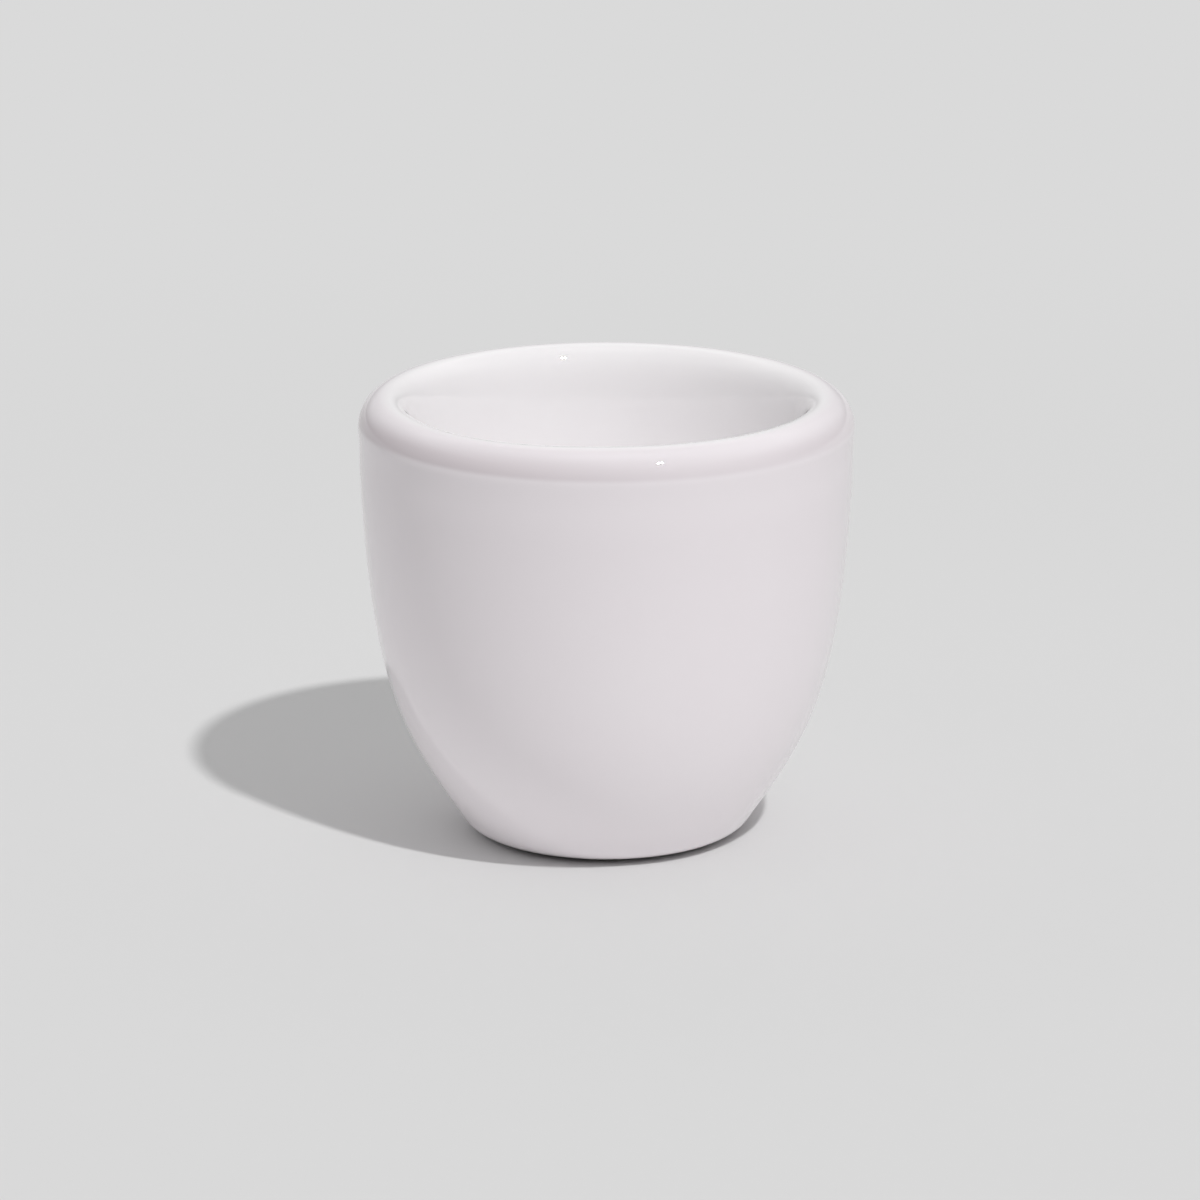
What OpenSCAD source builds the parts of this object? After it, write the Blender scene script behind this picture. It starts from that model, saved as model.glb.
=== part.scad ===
// Small glazed ceramic egg cup, turned about the Z axis.
// The origin is the centre of the face that the cup stands on, with +Z up. All lengths are millimetres.
// Each piece is half a cross-section, given as [distance from the axis, height], turned a full circle.

/* [Cup] */
// Widest diameter of the glazed cup, just under its lip
outer_d = 50; // [46:0.5:56]
// Height of the glazed cup above the table
cup_h = 45.4; // [38:0.1:56]

/* [Lip] */
// Width of the lip's outer rounding, from its side to the top of the lip
lip_outer_r = 2.8; // [2.2:0.1:3.4]
// Height of that rounding
lip_outer_h = 3.4; // [2.4:0.1:4]
// Radius of the lip's inner rounding at its top, from where it opens out down the side of the bowl
lip_inner_r = 2.6; // [1.8:0.1:3.2]
// Angle by which the wall still leans outwards where it meets the lip
lip_lean = 1.7; // [0:0.1:4]

/* [Base] */
// Diameter at which the rounded lower edge turns level
base_d = 24.8; // [22:0.2:28]
// Radius of that rounded lower edge, glaze included
base_round = 3; // [2:0.1:4]
// Angle of the lower wall from the vertical, where it leaves the rounded edge
base_flare = 33; // [25:1:40]

/* [Foot ring] */
// Distance from the level part of the lower edge inwards to the outer side of the foot ring
foot_inset = 1.1; // [0.9:0.1:2]
// Width of the foot ring
foot_w = 1.9; // [1.2:0.1:3]
// Height by which the foot ring holds the glazed edge clear of the table
foot_stand = 0.4; // [0.2:0.1:1]
// Bevel that the sponge leaves on the two edges of the foot ring
foot_edge = 0.3; // [0.1:0.05:0.5]
// Height of the hollow under the base, at its centre
hollow_h = 1.6; // [1.2:0.1:2.4]
// Height that the hollow loses between its centre and the foot ring
hollow_drop = 0.6; // [0:0.1:0.8]

/* [Bowl] */
// Inside diameter of the bowl at its waist, where its side is steepest
bowl_waist_d = 36.1; // [35:0.1:38]
// Height of that waist above the table
bowl_waist_h = 33.5; // [30:0.5:36]
// Angle by which the side of the bowl leans in at the waist
bowl_lean = 7; // [3:0.5:10]
// Height of the bowl's inside bottom above the table
bowl_floor_h = 6; // [5:0.5:10]

/* [Glaze] */
// Thickness of the glaze
glaze_t = 0.35; // [0.2:0.05:0.5]
// Width of the clay that is wiped bare on each side of the foot ring
bare_w = 0.3; // [0.1:0.05:0.4]

/* [Hidden] */

clay_color = [0.88, 0.85, 0.82];
glaze_color = [0.93, 0.91, 0.92];

// How strongly the wall's two ends hold their direction, as shares of the wall's height
wall_low_pull_share = 0.27;
wall_high_pull_share = 0.68;
// The same for the inside above the waist, and for the bowl below it, as shares of their heights;
// the last is a share of the waist's radius
lip_side_pull_share = 0.68;
bowl_side_pull_share = 0.69;
bowl_floor_pull_share = 0.64;

// Steps round a rounding, along a long curve and round the turned circle
arc_steps = 10;
curve_steps = 24;
hollow_steps = 6;
turn_steps = 120;

// Lip
crest_r = outer_d / 2 - lip_outer_r;
lip_outer_c = [crest_r, cup_h - lip_outer_h];
lip_clay_r = lip_outer_r - glaze_t;
lip_clay_h = lip_outer_h - glaze_t;

// Rounded lower edge
base_c = [base_d / 2, foot_stand + base_round];
base_clay_r = base_round - glaze_t;
base_clay_h = foot_stand + glaze_t;

// Foot ring and the hollow inside it
foot_out_r = base_d / 2 - foot_inset;
foot_in_r = foot_out_r - foot_w;
coat_end_r = foot_out_r + bare_w;
pad_r = foot_in_r - bare_w;

// A curve through four points: its ends, and two that hold the direction at each end
function curve_at(p, t) = pow(1 - t, 3) * p[0] + 3 * t * pow(1 - t, 2) * p[1]
    + 3 * t * t * (1 - t) * p[2] + t * t * t * p[3];
function curve_way(p, t) = pow(1 - t, 2) * (p[1] - p[0]) + 2 * t * (1 - t) * (p[2] - p[1])
    + t * t * (p[3] - p[2]);

// Points between the ends of a curve, moved out of the clay by lift
function curve(p, lift) = [
    for (i = [1 : curve_steps - 1])
        let (t = i / curve_steps, way = curve_way(p, t))
            curve_at(p, t) + lift * [way.y, -way.x] / norm(way)
];

// Points of a rounding round c, rx wide and ry high, from angle a0 to angle a1
function arc(c, rx, ry, a0, a1) = [
    for (i = [0 : arc_steps])
        let (a = a0 + (a1 - a0) * i / arc_steps)
            c + [rx * cos(a), ry * sin(a)]
];

// Outside wall of the clay, from the rounded lower edge up to the lip
wall_low = base_c + base_clay_r * [cos(base_flare), -sin(base_flare)];
wall_high = lip_outer_c + [lip_clay_r * cos(lip_lean), -lip_clay_h * sin(lip_lean)];
wall_h = wall_high.y - wall_low.y;
wall = [
    wall_low,
    wall_low + wall_low_pull_share * wall_h * [sin(base_flare), cos(base_flare)],
    wall_high - wall_high_pull_share * wall_h * [sin(lip_lean), cos(lip_lean)],
    wall_high
];

// Inside of the glazed cup, from the top of the lip to the waist, and on to the middle of the bowl
waist = [bowl_waist_d / 2, bowl_waist_h];
waist_way = [sin(bowl_lean), cos(bowl_lean)];
lip_side_pull = lip_side_pull_share * (cup_h - waist.y);
lip_top_pull = sqrt(lip_inner_r * (cup_h - waist.y - lip_side_pull * waist_way.y) / 1.5);
lip_inside = [
    [crest_r, cup_h],
    [crest_r - lip_top_pull, cup_h],
    waist + lip_side_pull * waist_way,
    waist
];
bowl = [
    waist,
    waist - bowl_side_pull_share * (waist.y - bowl_floor_h) * waist_way,
    [bowl_floor_pull_share * waist.x, bowl_floor_h],
    [0, bowl_floor_h]
];

// The whole glazed face from the lower edge over the lip to the middle of the bowl, out of the clay by lift
function face(lift) = concat(
    arc(base_c, base_clay_r + lift, base_clay_r + lift, -90, -base_flare),
    curve(wall, lift),
    arc(lip_outer_c, lip_clay_r + lift, lip_clay_h + lift, -lip_lean, 90),
    curve(lip_inside, lift - glaze_t),
    [waist + (lift - glaze_t) * [-waist_way.y, waist_way.x]],
    curve(bowl, lift - glaze_t),
    [[0, bowl_floor_h + lift - glaze_t]]
);

// Ceiling of the hollow, a shallow dome: the clay, or the glaze under it with drop equal to its thickness
function hollow_at(r, drop) = [r, hollow_h + glaze_t - drop - hollow_drop * pow(r / foot_in_r, 2)];
function hollow(end_r, drop) = [
    for (i = [0 : hollow_steps]) hollow_at(end_r * i / hollow_steps, drop)
];

function backwards(points) = [for (i = [len(points) - 1 : -1 : 0]) points[i]];

module turned(outline) {
    rotate_extrude($fn = turn_steps)
        polygon(outline);
}

// The fired clay: bowl, wall, lip and the bare foot ring that the cup stands on
module clay_body() {
    color(clay_color)
        turned(concat(
            hollow(pad_r, 0),
            [
                hollow_at(foot_in_r, 0),
                [foot_in_r, foot_edge],
                [foot_in_r + foot_edge, 0],
                [foot_out_r - foot_edge, 0],
                [foot_out_r, foot_edge],
                [foot_out_r, base_clay_h],
                [coat_end_r, base_clay_h]
            ],
            face(0)
        ));
}

// The glaze over everything above the foot ring, thinning out where it stops beside the ring
module glaze_coat() {
    color(glaze_color)
        turned(concat(
            [[coat_end_r, base_clay_h], [coat_end_r + glaze_t, foot_stand]],
            face(glaze_t),
            backwards(face(0))
        ));
}

// The glaze inside the hollow, cut off from the rest by the bare foot ring
module base_glaze() {
    color(glaze_color)
        turned(concat(
            hollow(pad_r - glaze_t, glaze_t),
            backwards(hollow(pad_r, 0))
        ));
}

clay_body();
glaze_coat();
base_glaze();
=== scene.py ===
import math

import bpy
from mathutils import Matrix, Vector


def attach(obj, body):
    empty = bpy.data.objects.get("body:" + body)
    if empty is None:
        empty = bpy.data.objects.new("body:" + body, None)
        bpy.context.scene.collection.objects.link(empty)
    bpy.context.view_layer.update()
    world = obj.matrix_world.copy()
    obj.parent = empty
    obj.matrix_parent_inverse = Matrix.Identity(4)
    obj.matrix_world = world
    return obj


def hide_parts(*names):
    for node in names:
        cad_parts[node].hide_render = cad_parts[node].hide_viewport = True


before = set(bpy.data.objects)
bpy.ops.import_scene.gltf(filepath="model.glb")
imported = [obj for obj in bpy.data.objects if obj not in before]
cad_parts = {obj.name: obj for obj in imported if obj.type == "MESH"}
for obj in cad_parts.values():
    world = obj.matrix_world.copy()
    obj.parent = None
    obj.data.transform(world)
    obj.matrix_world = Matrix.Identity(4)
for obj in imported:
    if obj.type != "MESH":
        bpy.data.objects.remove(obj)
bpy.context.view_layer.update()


# Fired clay body
# The cup is one small bowl of white clay, thrown thick, with a fat rolled lip and a foot ring turned
# on its underside. Only the ring's wiped face stays bare, and the cup stands on it.
MM = 0.001
cup_height = 45.4 * MM
glaze_thickness = 0.35 * MM
bare_width = 0.3 * MM
turn_steps = 160

lip_outer_radius = 2.8 * MM
lip_outer_height = 3.4 * MM
lip_inner_radius = 2.6 * MM
lip_lean = math.radians(1.7)
lip_crest = 22.19 * MM
lip_outer_middle = Vector((lip_crest, cup_height - lip_outer_height))

base_round = 3 * MM
base_flare = math.radians(33)
foot_stand = 0.4 * MM
base_round_middle = Vector((12.4 * MM, foot_stand + base_round))
foot_outer = 11.3 * MM
foot_inner = 9.4 * MM
foot_worn_edge = 0.3 * MM
hollow_height = 1.6 * MM
hollow_drop = 0.6 * MM
bowl_floor = 6 * MM


def leaning(angle, length=1):
    """A step of this length out from the axis, tilted up by angle."""
    return Vector((math.cos(angle), math.sin(angle))) * length


clay_base_round = base_round - glaze_thickness
clay_lip_round = lip_outer_radius - glaze_thickness
clay_lip_height = lip_outer_height - glaze_thickness
wall_foot = base_round_middle + leaning(-base_flare, clay_base_round)
wall_top = lip_outer_middle + Vector((clay_lip_round * math.cos(lip_lean),
                                      -clay_lip_height * math.sin(lip_lean)))
wall_rise = wall_top.y - wall_foot.y
foot_pull_share = 0.27
top_pull_share = 0.68
wall_bend = [
    wall_foot,
    wall_foot + foot_pull_share * wall_rise * Vector((math.sin(base_flare), math.cos(base_flare))),
    wall_top - top_pull_share * wall_rise * Vector((math.sin(lip_lean), math.cos(lip_lean))),
    wall_top,
]
waist = Vector((18.05 * MM, 33.5 * MM))
waist_lean = math.radians(7)
waist_way = Vector((math.sin(waist_lean), math.cos(waist_lean)))
lip_side_pull_share = 0.68
lip_side_pull = lip_side_pull_share * (cup_height - waist.y)
lip_drop = cup_height - waist.y - lip_side_pull * waist_way.y
lip_top_pull = math.sqrt(lip_inner_radius * lip_drop / 1.5)
lip_inside_bend = [
    Vector((lip_crest, cup_height)),
    Vector((lip_crest - lip_top_pull, cup_height)),
    waist + lip_side_pull * waist_way,
    waist,
]
bowl_side_pull_share = 0.69
bowl_floor_pull_share = 0.64
bowl_bend = [
    waist,
    waist - bowl_side_pull_share * (waist.y - bowl_floor) * waist_way,
    Vector((bowl_floor_pull_share * waist.x, bowl_floor)),
    Vector((0, bowl_floor)),
]


def bend_rings(bend, lift, steps):
    """Rings along a bent wall, each [distance from the axis, height], lifted off the clay."""
    start, pull_out, pull_in, end = bend
    rings = []
    for step in range(1, steps):
        t = step / steps
        spot = ((1 - t) ** 3 * start + 3 * t * (1 - t) ** 2 * pull_out
                + 3 * t * t * (1 - t) * pull_in + t ** 3 * end)
        way = ((1 - t) ** 2 * (pull_out - start) + 2 * t * (1 - t) * (pull_in - pull_out)
               + t * t * (end - pull_in)).normalized()
        rings.append(spot + lift * Vector((way.y, -way.x)))
    return rings


def round_rings(middle, radius, start, end, steps, height=None):
    """Rings round a rolled edge, from one tilt to another. An oval edge has a height of its own."""
    return [middle + Vector((radius * math.cos(tilt), (height or radius) * math.sin(tilt)))
            for tilt in (start + (end - start) * step / steps for step in range(steps + 1))]


neck_height = 40.4 * MM
neck_reach = 1.5 * MM
neck_depth = 0.1 * MM


def pinch_neck(rings):
    """Presses a soft neck into the wall just under the lip, where the fingers rolled the lip over."""
    return [ring - Vector((neck_depth * math.exp(-((ring.y - neck_height) / neck_reach) ** 2), 0))
            for ring in rings]


def cup_face(lift):
    """Rings from the rounded base edge up the wall, over the lip and down to the bowl's middle."""
    outside = (
        round_rings(base_round_middle, clay_base_round + lift, -math.pi / 2, -base_flare, 12)
        + bend_rings(wall_bend, lift, 64)
        + round_rings(lip_outer_middle, clay_lip_round + lift, -lip_lean, math.pi / 2, 22,
                      clay_lip_height + lift)
    )
    sunk = lift - glaze_thickness
    inside = (
        bend_rings(lip_inside_bend, sunk, 44)
        + [waist + sunk * Vector((-waist_way.y, waist_way.x))]
        + bend_rings(bowl_bend, sunk, 40)
        + [Vector((0, bowl_floor + sunk))]
    )
    return pinch_neck(outside) + inside


def hollow_rings(end_radius, drop, steps=10):
    """Rings under the base, from the axis out to end_radius, lowered from the clay by drop."""
    rings = []
    for step in range(steps + 1):
        radius = end_radius * step / steps
        height = hollow_height + glaze_thickness - drop - hollow_drop * (radius / foot_inner) ** 2
        rings.append(Vector((radius, height)))
    return rings


def turn_piece(name, rings):
    """Models a turned piece: a small disc on the axis, drawn out ring by ring and closed on the axis."""
    first, last = rings[1], rings[-1]
    bpy.ops.object.select_all(action="DESELECT")
    bpy.ops.mesh.primitive_circle_add(vertices=turn_steps, radius=first.x, fill_type="TRIFAN",
                                      location=(0, 0, first.y))
    piece = bpy.context.object
    piece.name = name
    piece.data.name = name
    bpy.ops.object.transform_apply(location=True, rotation=False, scale=False)
    for point in piece.data.vertices:
        point.select = math.hypot(point.co.x, point.co.y) > first.x / 2
    for edge in piece.data.edges:
        edge.select = all(piece.data.vertices[end].select for end in edge.vertices)
    for face in piece.data.polygons:
        face.select = False
    bpy.ops.object.mode_set(mode="EDIT")
    now = first
    for ring in rings[2:-1]:
        grow = ring.x / now.x
        bpy.ops.mesh.extrude_edges_move(TRANSFORM_OT_translate={"value": (0, 0, ring.y - now.y)})
        bpy.ops.transform.resize(value=(grow, grow, 1), center_override=(0, 0, ring.y))
        now = ring
    bpy.ops.mesh.extrude_edges_move(TRANSFORM_OT_translate={"value": (0, 0, last.y - now.y)})
    bpy.ops.mesh.merge(type="CENTER")
    bpy.ops.mesh.select_all(action="SELECT")
    bpy.ops.mesh.remove_doubles(threshold=0.0001 * MM)
    bpy.ops.mesh.normals_make_consistent(inside=False)
    bpy.ops.object.mode_set(mode="OBJECT")
    bpy.ops.object.shade_smooth_by_angle(angle=math.radians(50))
    return piece


glaze_end = foot_outer + bare_width
foot_rings = (
    round_rings(Vector((foot_inner + foot_worn_edge, foot_worn_edge)), foot_worn_edge,
                math.pi, 1.5 * math.pi, 6)
    + round_rings(Vector((foot_outer - foot_worn_edge, foot_worn_edge)), foot_worn_edge,
                  -math.pi / 2, 0, 6)
)
under_glaze_end = foot_inner - bare_width
clay = turn_piece("fired_clay", (
    hollow_rings(under_glaze_end, 0)
    + [hollow_rings(foot_inner, 0)[-1]]
    + foot_rings
    + [Vector((foot_outer, foot_stand + glaze_thickness)),
       Vector((glaze_end, foot_stand + glaze_thickness))]
    + cup_face(0)
))


def press_lip(piece, turn, drop, reach):
    """Presses the lip down by hand at one place, turn degrees round from the front."""
    angle = math.radians(turn)
    spot = Vector((lip_crest * math.sin(angle), -lip_crest * math.cos(angle), cup_height))
    nearest = min(piece.data.vertices, key=lambda point: (point.co - spot).length)
    for group in (piece.data.vertices, piece.data.edges, piece.data.polygons):
        for part in group:
            part.select = False
    nearest.select = True
    bpy.ops.object.select_all(action="DESELECT")
    piece.select_set(True)
    bpy.context.view_layer.objects.active = piece
    bpy.ops.object.mode_set(mode="EDIT")
    bpy.ops.transform.translate(value=(0, 0, -drop), use_proportional_edit=True,
                                proportional_edit_falloff="SMOOTH", proportional_size=reach)
    bpy.ops.object.mode_set(mode="OBJECT")


# Where the hand that lifted the cup left the lip low: degrees from the front, depth and reach.
lip_dips = [(-40, 0.22 * MM, 19 * MM), (118, 0.05 * MM, 15 * MM)]
for turn, drop, reach in lip_dips:
    press_lip(clay, turn, drop, reach)


def put(tree, kind, feeds=(), **settings):
    """Adds a node, sets its named values and wires (socket, number in) pairs into it."""
    node = tree.nodes.new(kind)
    for name, value in settings.items():
        setattr(node, name, value)
    for source, target in feeds:
        if isinstance(source, bpy.types.NodeSocket):
            tree.links.new(source, node.inputs[target])
        else:
            node.inputs[target].default_value = source
    return node


def reckon(tree, sum_kind, *terms, clamp=False):
    """One step of arithmetic in a finish."""
    node = put(tree, "ShaderNodeMath", list(zip(terms, range(len(terms)))), operation=sum_kind)
    node.use_clamp = clamp
    return node.outputs[0]


def shade_between(tree, amount, low, high):
    """A colour that runs from low to high with amount."""
    node = put(tree, "ShaderNodeMix", data_type="RGBA")
    tree.links.new(amount, node.inputs["Factor"])
    for colour, side in ((low, "A"), (high, "B")):
        if isinstance(colour, bpy.types.NodeSocket):
            tree.links.new(colour, node.inputs[side])
        else:
            node.inputs[side].default_value = (*colour, 1)
    return node.outputs["Result"]


def fade(tree, value, start, end, low=0, high=1, softly=True):
    """Runs from low to high while value goes from start to end."""
    return put(tree, "ShaderNodeMapRange", [
        (value, "Value"), (start, "From Min"), (end, "From Max"), (low, "To Min"), (high, "To Max"),
    ], interpolation_type="SMOOTHSTEP" if softly else "LINEAR").outputs[0]


bare_clay = bpy.data.materials.new("bare_clay")
bare_clay.use_nodes = True
tree = bare_clay.node_tree
clay_surface = tree.nodes["Principled BSDF"]
spots = put(tree, "ShaderNodeTexCoord").outputs["Object"]

# Fine grain and soft clouds of tone, and the rings that the sponge left as the cup turned under it.
dark_clay = (0.50, 0.44, 0.375)
light_clay = (0.80, 0.75, 0.68)
grain_share = 0.45
cloud_share = 0.55
grain = put(tree, "ShaderNodeTexNoise", [
    (spots, "Vector"), (2600, "Scale"), (5, "Detail"), (0.65, "Roughness"),
])
cloud = put(tree, "ShaderNodeTexNoise", [(spots, "Vector"), (240, "Scale"), (3, "Detail")])
wipe = put(tree, "ShaderNodeTexWave", [
    (spots, "Vector"), (420, "Scale"), (2.5, "Distortion"), (3, "Detail"), (1.5, "Detail Scale"),
], wave_type="RINGS", rings_direction="Z")
tone = reckon(tree, "MULTIPLY_ADD", grain.outputs[0], grain_share,
              reckon(tree, "MULTIPLY", cloud.outputs[0], cloud_share))
clay_colour = shade_between(tree, tone, dark_clay, light_clay)
tree.links.new(clay_colour, clay_surface.inputs["Base Color"])

clay_roughness = 0.68
grain_roughness = 0.25
matt_face = reckon(tree, "MULTIPLY_ADD", grain.outputs[0], grain_roughness, clay_roughness)
tree.links.new(matt_face, clay_surface.inputs["Roughness"])

wipe_share = 0.35
grain_depth = 0.08 * MM
grain_and_rings = reckon(tree, "MULTIPLY_ADD", wipe.outputs["Fac"], wipe_share, grain.outputs[0])
rough_face = put(tree, "ShaderNodeBump", [
    (grain_and_rings, "Height"), (0.6, "Strength"), (grain_depth, "Distance"),
])
tree.links.new(rough_face.outputs[0], clay_surface.inputs["Normal"])
clay_surface.inputs["Specular IOR Level"].default_value = 0.3
clay.data.materials.append(bare_clay)
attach(clay, "root")
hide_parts("clay_body")


# White glaze
# A glossy white glaze covers the wall, the lip and the bowl in one unbroken coat. It was poured and
# dipped on, ran level in the kiln, and ends in a rolled edge beside the foot ring.
glaze_roll = round_rings(Vector((glaze_end + glaze_thickness, foot_stand + glaze_thickness)),
                         glaze_thickness, math.pi, 1.5 * math.pi, 6)
glaze = turn_piece("white_glaze", cup_face(0)[::-1] + glaze_roll + cup_face(glaze_thickness))

for turn, drop, reach in lip_dips:
    press_lip(glaze, turn, drop, reach)

white_glaze = bpy.data.materials.new("white_glaze")
white_glaze.use_nodes = True
tree = white_glaze.node_tree
glaze_surface = tree.nodes["Principled BSDF"]
place = put(tree, "ShaderNodeTexCoord")
spots = place.outputs["Object"]
where = put(tree, "ShaderNodeSeparateXYZ", [(spots, 0)]).outputs

# Which way the surface faces from the axis tells the outside wall from the lip and the bowl.
flat_spot = put(tree, "ShaderNodeVectorMath", [(spots, 0), ((1, 1, 0), 1)], operation="MULTIPLY")
from_axis = put(tree, "ShaderNodeVectorMath", [(flat_spot.outputs[0], 0)], operation="NORMALIZE")
facing_out = put(tree, "ShaderNodeVectorMath", [
    (place.outputs["Normal"], 0), (from_axis.outputs[0], 1),
], operation="DOT_PRODUCT").outputs["Value"]

# The glaze lies thick and white over the lip and in the bowl, in slightly uneven clouds; that
# whiter colour is partly painted light, for the light that the lip's top and the bowl catch.
# On the outside wall it is thinner and takes a pinkish tint from the clay. Lower down, the
# wall's colour turns lighter: painted light, for the light that the table throws back up.
thick_lit_glaze = (0.955, 0.934, 0.945)
thin_glaze = (0.865, 0.816, 0.845)
bounce_lit_glaze = (0.968, 0.918, 0.946)
bounce_top = 36 * MM
bounce_end = 4 * MM
# Partly painted light: surfaces that face up or in towards the axis get the whiter colour.
thick_and_lit = fade(tree, facing_out, 0.45, -0.25)
cloud = put(tree, "ShaderNodeTexNoise", [
    (spots, "Vector"), (70, "Scale"), (3, "Detail"), (0.5, "Roughness"),
])
unevenness = reckon(tree, "SUBTRACT", cloud.outputs[0], 0.5)
drift_and_lit = reckon(tree, "MULTIPLY_ADD", unevenness, 0.5, thick_and_lit, clamp=True)
# Painted light: the wall's colour lightens from 36 mm down to 4 mm above the table.
painted_bounce = fade(tree, where["Z"], bounce_top, bounce_end, softly=False)
wall_tint_and_bounce = shade_between(tree, painted_bounce, thin_glaze, bounce_lit_glaze)
cover_and_light = shade_between(tree, drift_and_lit, wall_tint_and_bounce, thick_lit_glaze)

# Round the outside of the rolled lip, just above the neck, lies a band of painted shade and painted
# reflection of the dark room, darker and pinker than the glaze. It is darkest on the left, away from the
# lamp.
painted_lip_shade = (0.715, 0.652, 0.68)
left_end = -24 * MM
right_end = 8 * MM
below_top = fade(tree, where["Z"], 45 * MM, 43.6 * MM)
above_neck = fade(tree, where["Z"], 42.3 * MM, 42.9 * MM)
outside = fade(tree, facing_out, 0.2, 0.5, softly=False)
# Painted shade: the band runs from full strength on the left to under half on the right.
shade_darker_left = fade(tree, where["X"], left_end, right_end, 1, 0.42, softly=False)
band = reckon(tree, "MULTIPLY", below_top, above_neck)
lip_shade_amount = reckon(tree, "MULTIPLY", band, reckon(tree, "MULTIPLY", outside, shade_darker_left))
glaze_colour = shade_between(tree, lip_shade_amount, cover_and_light, painted_lip_shade)
tree.links.new(glaze_colour, glaze_surface.inputs["Base Color"])

glaze_roughness = 0.008
breath_roughness = 0.012
breath = put(tree, "ShaderNodeTexNoise", [(spots, "Vector"), (160, "Scale"), (2, "Detail")])
gloss = reckon(tree, "MULTIPLY_ADD", breath.outputs[0], breath_roughness, glaze_roughness)
tree.links.new(gloss, glaze_surface.inputs["Roughness"])

# It ran almost level in the kiln: a slow swell everywhere, and faint throwing lines inside the bowl.
swell_depth = 0.012 * MM
line_depth = 0.004 * MM
inside_bowl = fade(tree, facing_out, -0.55, -0.9)
throwing = put(tree, "ShaderNodeTexWave", [
    (spots, "Vector"), (260, "Scale"), (1.6, "Distortion"), (2, "Detail"), (1, "Detail Scale"),
], wave_type="BANDS", bands_direction="Z")
ripple = put(tree, "ShaderNodeTexNoise", [(spots, "Vector"), (700, "Scale"), (1, "Detail")])
lines = reckon(tree, "MULTIPLY", reckon(tree, "ADD", throwing.outputs["Fac"], ripple.outputs[0]),
               inside_bowl)
swell = put(tree, "ShaderNodeTexNoise", [(spots, "Vector"), (90, "Scale"), (1, "Detail")])
swell_face = put(tree, "ShaderNodeBump", [
    (swell.outputs[0], "Height"), (1, "Strength"), (swell_depth, "Distance"),
])
line_face = put(tree, "ShaderNodeBump", [
    (lines, "Height"), (1, "Strength"), (line_depth, "Distance"), (swell_face.outputs[0], "Normal"),
])
tree.links.new(line_face.outputs[0], glaze_surface.inputs["Normal"])
glaze_surface.inputs["IOR"].default_value = 1.5
glaze.data.materials.append(white_glaze)
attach(glaze, "root")
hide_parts("glaze_coat")


# Glaze in the hollow
# The same glaze lies in the shallow hollow inside the foot ring. The ring was wiped clean before
# firing, so this pad is cut off from the rest and ends in its own rolled edge.
pad_roll = round_rings(hollow_rings(under_glaze_end - glaze_thickness, 0)[-1],
                       glaze_thickness, 0, -math.pi / 2, 6)
pad = turn_piece("hollow_glaze", (
    hollow_rings(under_glaze_end, 0)
    + pad_roll[1:-1]
    + hollow_rings(under_glaze_end - glaze_thickness, glaze_thickness)[::-1]
))
pad.data.materials.append(white_glaze)
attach(pad, "root")
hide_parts("base_glaze")


# Table and studio
# The cup stands on a plain pale table. One small lamp lights it from the front right, and soft light
# comes from the room round it, mostly from above and behind.
lamp_turn = math.radians(33.0)
lamp_rise = math.radians(53.9)
lamp_away = 0.884
lamp_aim = Vector((0, 0, 22.6 * MM))
lamp_place = Vector((
    math.sin(lamp_turn) * math.cos(lamp_rise),
    -math.cos(lamp_turn) * math.cos(lamp_rise),
    math.sin(lamp_rise),
)) * lamp_away + lamp_aim

table_size = 8
bpy.ops.object.select_all(action="DESELECT")
bpy.ops.mesh.primitive_plane_add(size=table_size, location=(0, 0, 0))
table = bpy.context.object
table.name = "table"
table_finish = bpy.data.materials.new("table_finish")
table_finish.use_nodes = True
tree = table_finish.node_tree
tree.nodes.clear()
spots = put(tree, "ShaderNodeTexCoord").outputs["Object"]

# The lamp falls off across the table. The colour that is seen makes up for that, so that the table
# looks even, and beyond the cup's surroundings it passes into the backdrop's plain grey.
table_grey = 0.7011
seen_share = 0.74
soft_share = 0.419
lamp_share = 0.207
to_lamp = put(tree, "ShaderNodeVectorMath", [
    (spots, 0), (lamp_place, 1),
], operation="DISTANCE").outputs["Value"]
lamp_light = reckon(tree, "DIVIDE", lamp_share, reckon(tree, "POWER", to_lamp, 3))
table_tone = reckon(tree, "DIVIDE", seen_share * table_grey,
                    reckon(tree, "ADD", lamp_light, soft_share))
backdrop_glow = put(tree, "ShaderNodeEmission", [
    ((table_grey, table_grey, table_grey, 1), "Color"), (1, "Strength"),
])
from_cup = put(tree, "ShaderNodeVectorMath", [(spots, 0)], operation="LENGTH").outputs["Value"]
near_end = 0.12
far_start = 0.3
far_off = fade(tree, from_cup, near_end, far_start)

# The light that the table throws back onto the cup comes from its real colour, a plain white.
table_white = 0.88
palest_seen = 0.95
ray = put(tree, "ShaderNodeLightPath")
mirrored = reckon(tree, "ADD", ray.outputs["Is Glossy Ray"], ray.outputs["Is Transmission Ray"],
                  clamp=True)
seen = reckon(tree, "ADD", ray.outputs["Is Camera Ray"], mirrored, clamp=True)
table_colour = put(tree, "ShaderNodeMix", data_type="FLOAT")
tree.links.new(seen, table_colour.inputs["Factor"])
table_colour.inputs["A"].default_value = table_white
tree.links.new(reckon(tree, "MINIMUM", table_tone, palest_seen), table_colour.inputs["B"])
table_matt = put(tree, "ShaderNodeBsdfDiffuse", [(table_colour.outputs["Result"], "Color")])
table_mix = put(tree, "ShaderNodeMixShader", [
    (reckon(tree, "MULTIPLY", far_off, seen), 0), (table_matt.outputs[0], 1),
    (backdrop_glow.outputs[0], 2),
])
put(tree, "ShaderNodeOutputMaterial", [(table_mix.outputs[0], "Surface")])
table.data.materials.append(table_finish)

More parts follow.
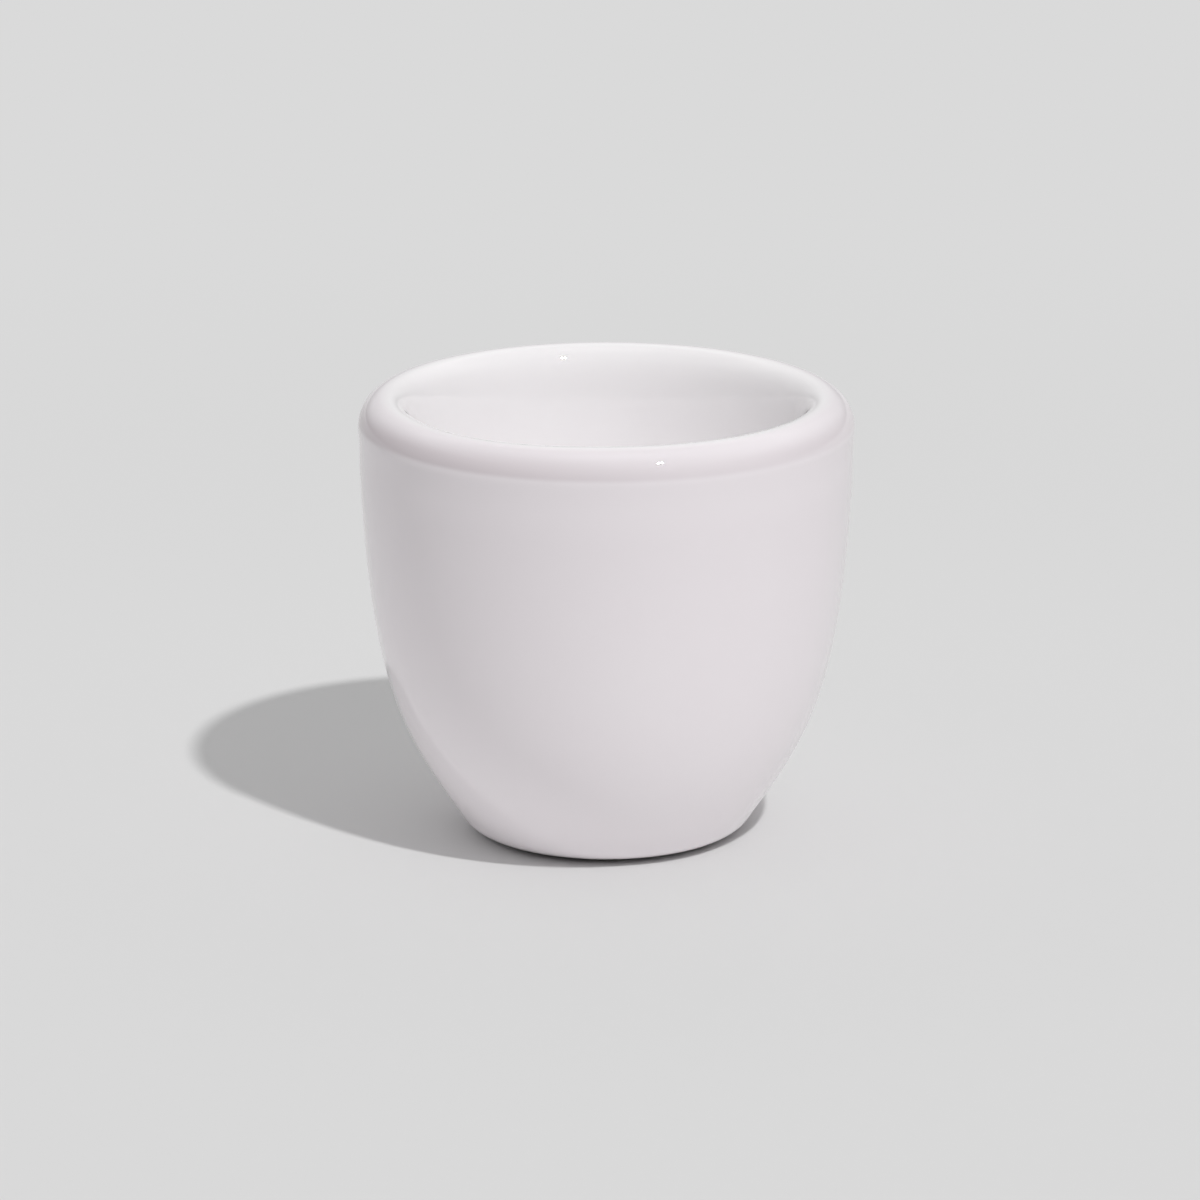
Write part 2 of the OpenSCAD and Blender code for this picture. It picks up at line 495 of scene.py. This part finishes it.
bpy.ops.object.light_add(type="AREA", location=lamp_place)
lamp = bpy.context.object
lamp.name = "lamp"
lamp.data.shape = "DISK"
lamp.data.size = 37 * MM
lamp.data.energy = 3.97
lamp.rotation_mode = "QUATERNION"
lamp.rotation_quaternion = (lamp_place - lamp_aim).to_track_quat("Z", "Y")

studio = bpy.data.worlds.new("studio")
bpy.context.scene.world = studio
studio.use_nodes = True
tree = studio.node_tree
tree.nodes.clear()
sky = put(tree, "ShaderNodeSeparateXYZ", [(put(tree, "ShaderNodeTexCoord").outputs["Generated"], 0)])
rise = reckon(tree, "ARCSINE", sky.outputs["Z"])
across, away = sky.outputs["X"], sky.outputs["Y"]


def soft_band(middle, reach):
    """A band of soft light round the room, brightest at one height and gone at reach degrees from it."""
    off = reckon(tree, "ABSOLUTE", reckon(tree, "SUBTRACT", rise, math.radians(middle)))
    return reckon(tree, "SUBTRACT", 1, reckon(tree, "DIVIDE", off, math.radians(reach)), clamp=True)


round_room = reckon(tree, "MULTIPLY_ADD", away, 0.2,
                    reckon(tree, "MULTIPLY_ADD", across, -0.1, 0.85))
from_behind = reckon(tree, "MULTIPLY_ADD", away, 0.65, reckon(tree, "MULTIPLY", across, -0.17),
                     clamp=True)
soft_light = reckon(tree, "MULTIPLY_ADD", soft_band(42, 28), round_room, soft_band(90, 36))
soft_light = reckon(tree, "MULTIPLY_ADD", soft_band(12, 22), from_behind, soft_light)

# The eye sees the backdrop's grey everywhere. So does a mirrored ray that goes out below the rim of
# the backdrop.
backdrop_rim = 0.02
room_start = 0.06
ray = put(tree, "ShaderNodeLightPath")
mirrored = reckon(tree, "ADD", ray.outputs["Is Glossy Ray"], ray.outputs["Is Transmission Ray"],
                  clamp=True)
backdrop = fade(tree, rise, backdrop_rim, room_start, table_grey, 0, softly=False)
light = reckon(tree, "MAXIMUM", soft_light, reckon(tree, "MULTIPLY", backdrop, mirrored))
strength = put(tree, "ShaderNodeMix", data_type="FLOAT")
tree.links.new(ray.outputs["Is Camera Ray"], strength.inputs["Factor"])
tree.links.new(light, strength.inputs["A"])
strength.inputs["B"].default_value = table_grey
studio_glow = put(tree, "ShaderNodeBackground", [
    ((1, 1, 1, 1), "Color"), (strength.outputs["Result"], "Strength"),
])
put(tree, "ShaderNodeOutputWorld", [(studio_glow.outputs[0], "Surface")])


# Camera
# It looks slightly down at the cup through a long lens, as in the photograph.
view_fall = math.radians(15.7)
camera_away = 0.6
camera_shift = -0.64 * MM
camera_aim_height = 23.82 * MM
camera_data = bpy.data.cameras.new("camera")
camera_data.sensor_width = 36
camera_data.lens = 36 * 5918 / 1200
camera_data.clip_start = 0.01
camera = bpy.data.objects.new("camera", camera_data)
bpy.context.scene.collection.objects.link(camera)
camera.location = (camera_shift, -camera_away * math.cos(view_fall),
                   camera_aim_height + camera_away * math.sin(view_fall))
camera.rotation_euler = (math.pi / 2 - view_fall, 0, 0)
bpy.context.scene.camera = camera

bpy.context.scene.view_settings.view_transform = "Standard"
